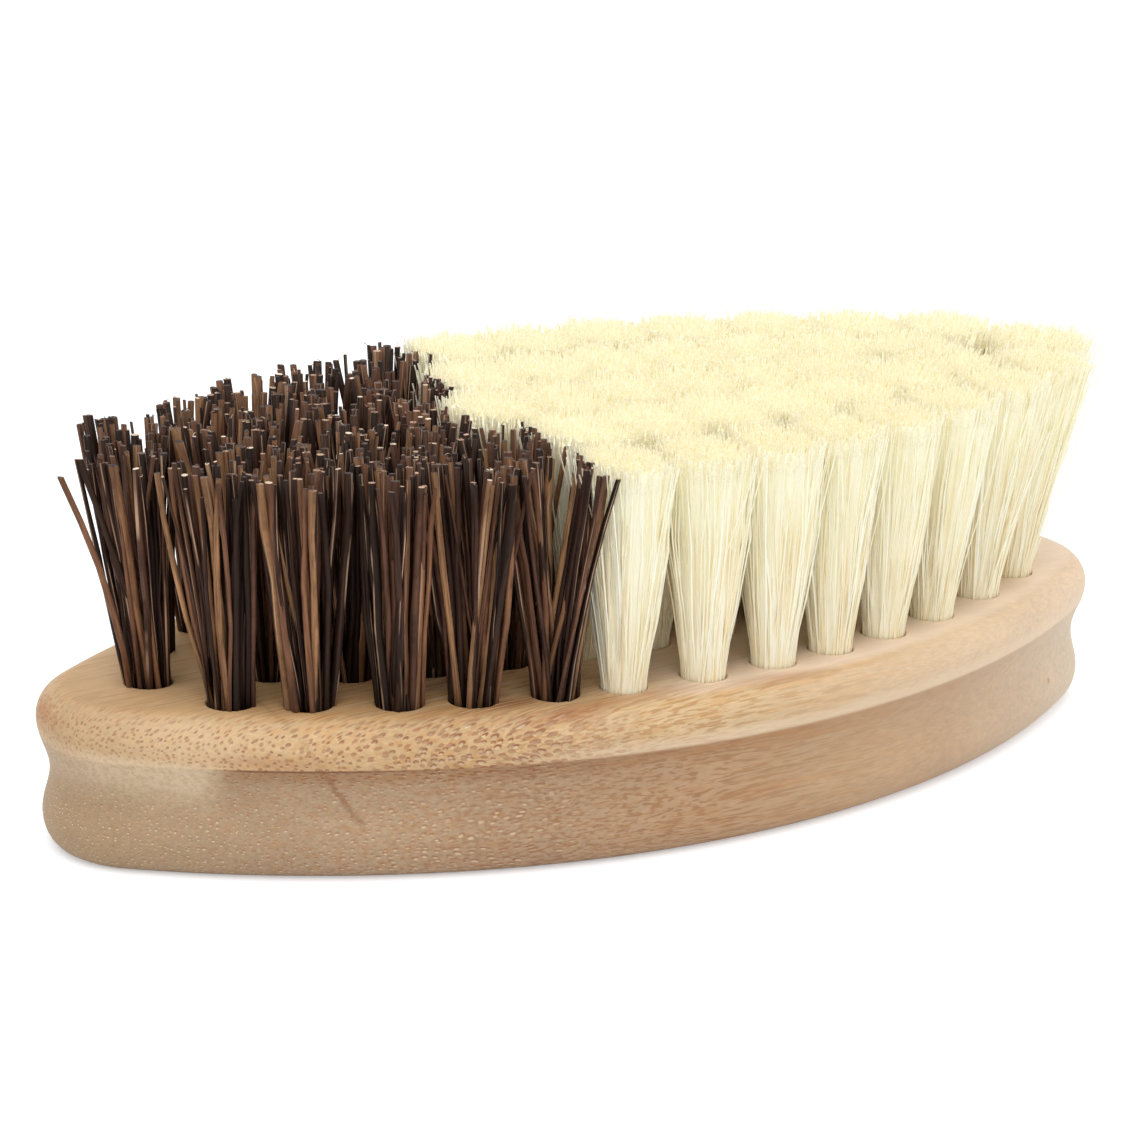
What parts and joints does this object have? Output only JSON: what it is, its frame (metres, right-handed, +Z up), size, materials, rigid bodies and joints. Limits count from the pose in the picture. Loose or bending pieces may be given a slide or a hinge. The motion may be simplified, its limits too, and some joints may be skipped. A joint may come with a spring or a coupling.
{
  "type": "scrub brush",
  "caption": "Hand scrub brush: oval laminated bamboo block with a finger cove, stiff dark palm tufts at one end, soft white tampico at the other.",
  "frame": {"origin": "centre of the block's flat back, on the surface the brush lies on", "axes": "+X along the block towards the white bristles, +Y across it, +Z up out of the bristle face"},
  "size_m": [0.13, 0.06, 0.043],
  "materials": {
    "laminated_bamboo": "sanded bare bamboo",
    "palm_fibre": "stiff dark brown plant fibre with a slight gloss",
    "tampico_fibre": "fine ivory plant fibre"
  },
  "bodies": {
    "root": {"block": "laminated_bamboo", "palm_tuft_back_01": "palm_fibre", "palm_tuft_back_02": "palm_fibre", "palm_tuft_back_03": "palm_fibre", "palm_tuft_back_04": "palm_fibre", "palm_tuft_back_05": "palm_fibre", "palm_tuft_front_01": "palm_fibre", "palm_tuft_front_02": "palm_fibre", "palm_tuft_front_03": "palm_fibre", "palm_tuft_front_04": "palm_fibre", "palm_tuft_front_05": "palm_fibre", "palm_tuft_inner_01": "palm_fibre", "palm_tuft_inner_02": "palm_fibre", "palm_tuft_inner_03": "palm_fibre", "palm_tuft_inner_04": "palm_fibre", "palm_tuft_inner_05": "palm_fibre", "palm_tuft_inner_06": "palm_fibre", "palm_tuft_inner_07": "palm_fibre", "palm_tuft_inner_08": "palm_fibre", "palm_tuft_middle_01": "palm_fibre", "palm_tuft_middle_02": "palm_fibre", "palm_tuft_nose_01": "palm_fibre", "tampico_tuft_back_06": "tampico_fibre", "tampico_tuft_back_07": "tampico_fibre", "tampico_tuft_back_08": "tampico_fibre", "tampico_tuft_back_09": "tampico_fibre", "tampico_tuft_back_10": "tampico_fibre", "tampico_tuft_back_11": "tampico_fibre", "tampico_tuft_back_12": "tampico_fibre", "tampico_tuft_front_06": "tampico_fibre", "tampico_tuft_front_07": "tampico_fibre", "tampico_tuft_front_08": "tampico_fibre", "tampico_tuft_front_09": "tampico_fibre", "tampico_tuft_front_10": "tampico_fibre", "tampico_tuft_front_11": "tampico_fibre", "tampico_tuft_front_12": "tampico_fibre", "tampico_tuft_front_13": "tampico_fibre", "tampico_tuft_inner_09": "tampico_fibre", "tampico_tuft_inner_10": "tampico_fibre", "tampico_tuft_inner_11": "tampico_fibre", "tampico_tuft_inner_12": "tampico_fibre", "tampico_tuft_inner_13": "tampico_fibre", "tampico_tuft_inner_14": "tampico_fibre", "tampico_tuft_inner_15": "tampico_fibre", "tampico_tuft_inner_16": "tampico_fibre", "tampico_tuft_inner_17": "tampico_fibre", "tampico_tuft_inner_18": "tampico_fibre", "tampico_tuft_inner_19": "tampico_fibre", "tampico_tuft_inner_20": "tampico_fibre", "tampico_tuft_inner_21": "tampico_fibre", "tampico_tuft_inner_22": "tampico_fibre", "tampico_tuft_middle_03": "tampico_fibre", "tampico_tuft_middle_04": "tampico_fibre", "tampico_tuft_middle_05": "tampico_fibre", "tampico_tuft_middle_06": "tampico_fibre", "tampico_tuft_middle_07": "tampico_fibre", "tampico_tuft_middle_08": "tampico_fibre", "tampico_tuft_nose_02": "tampico_fibre"}
  },
  "joints": []
}
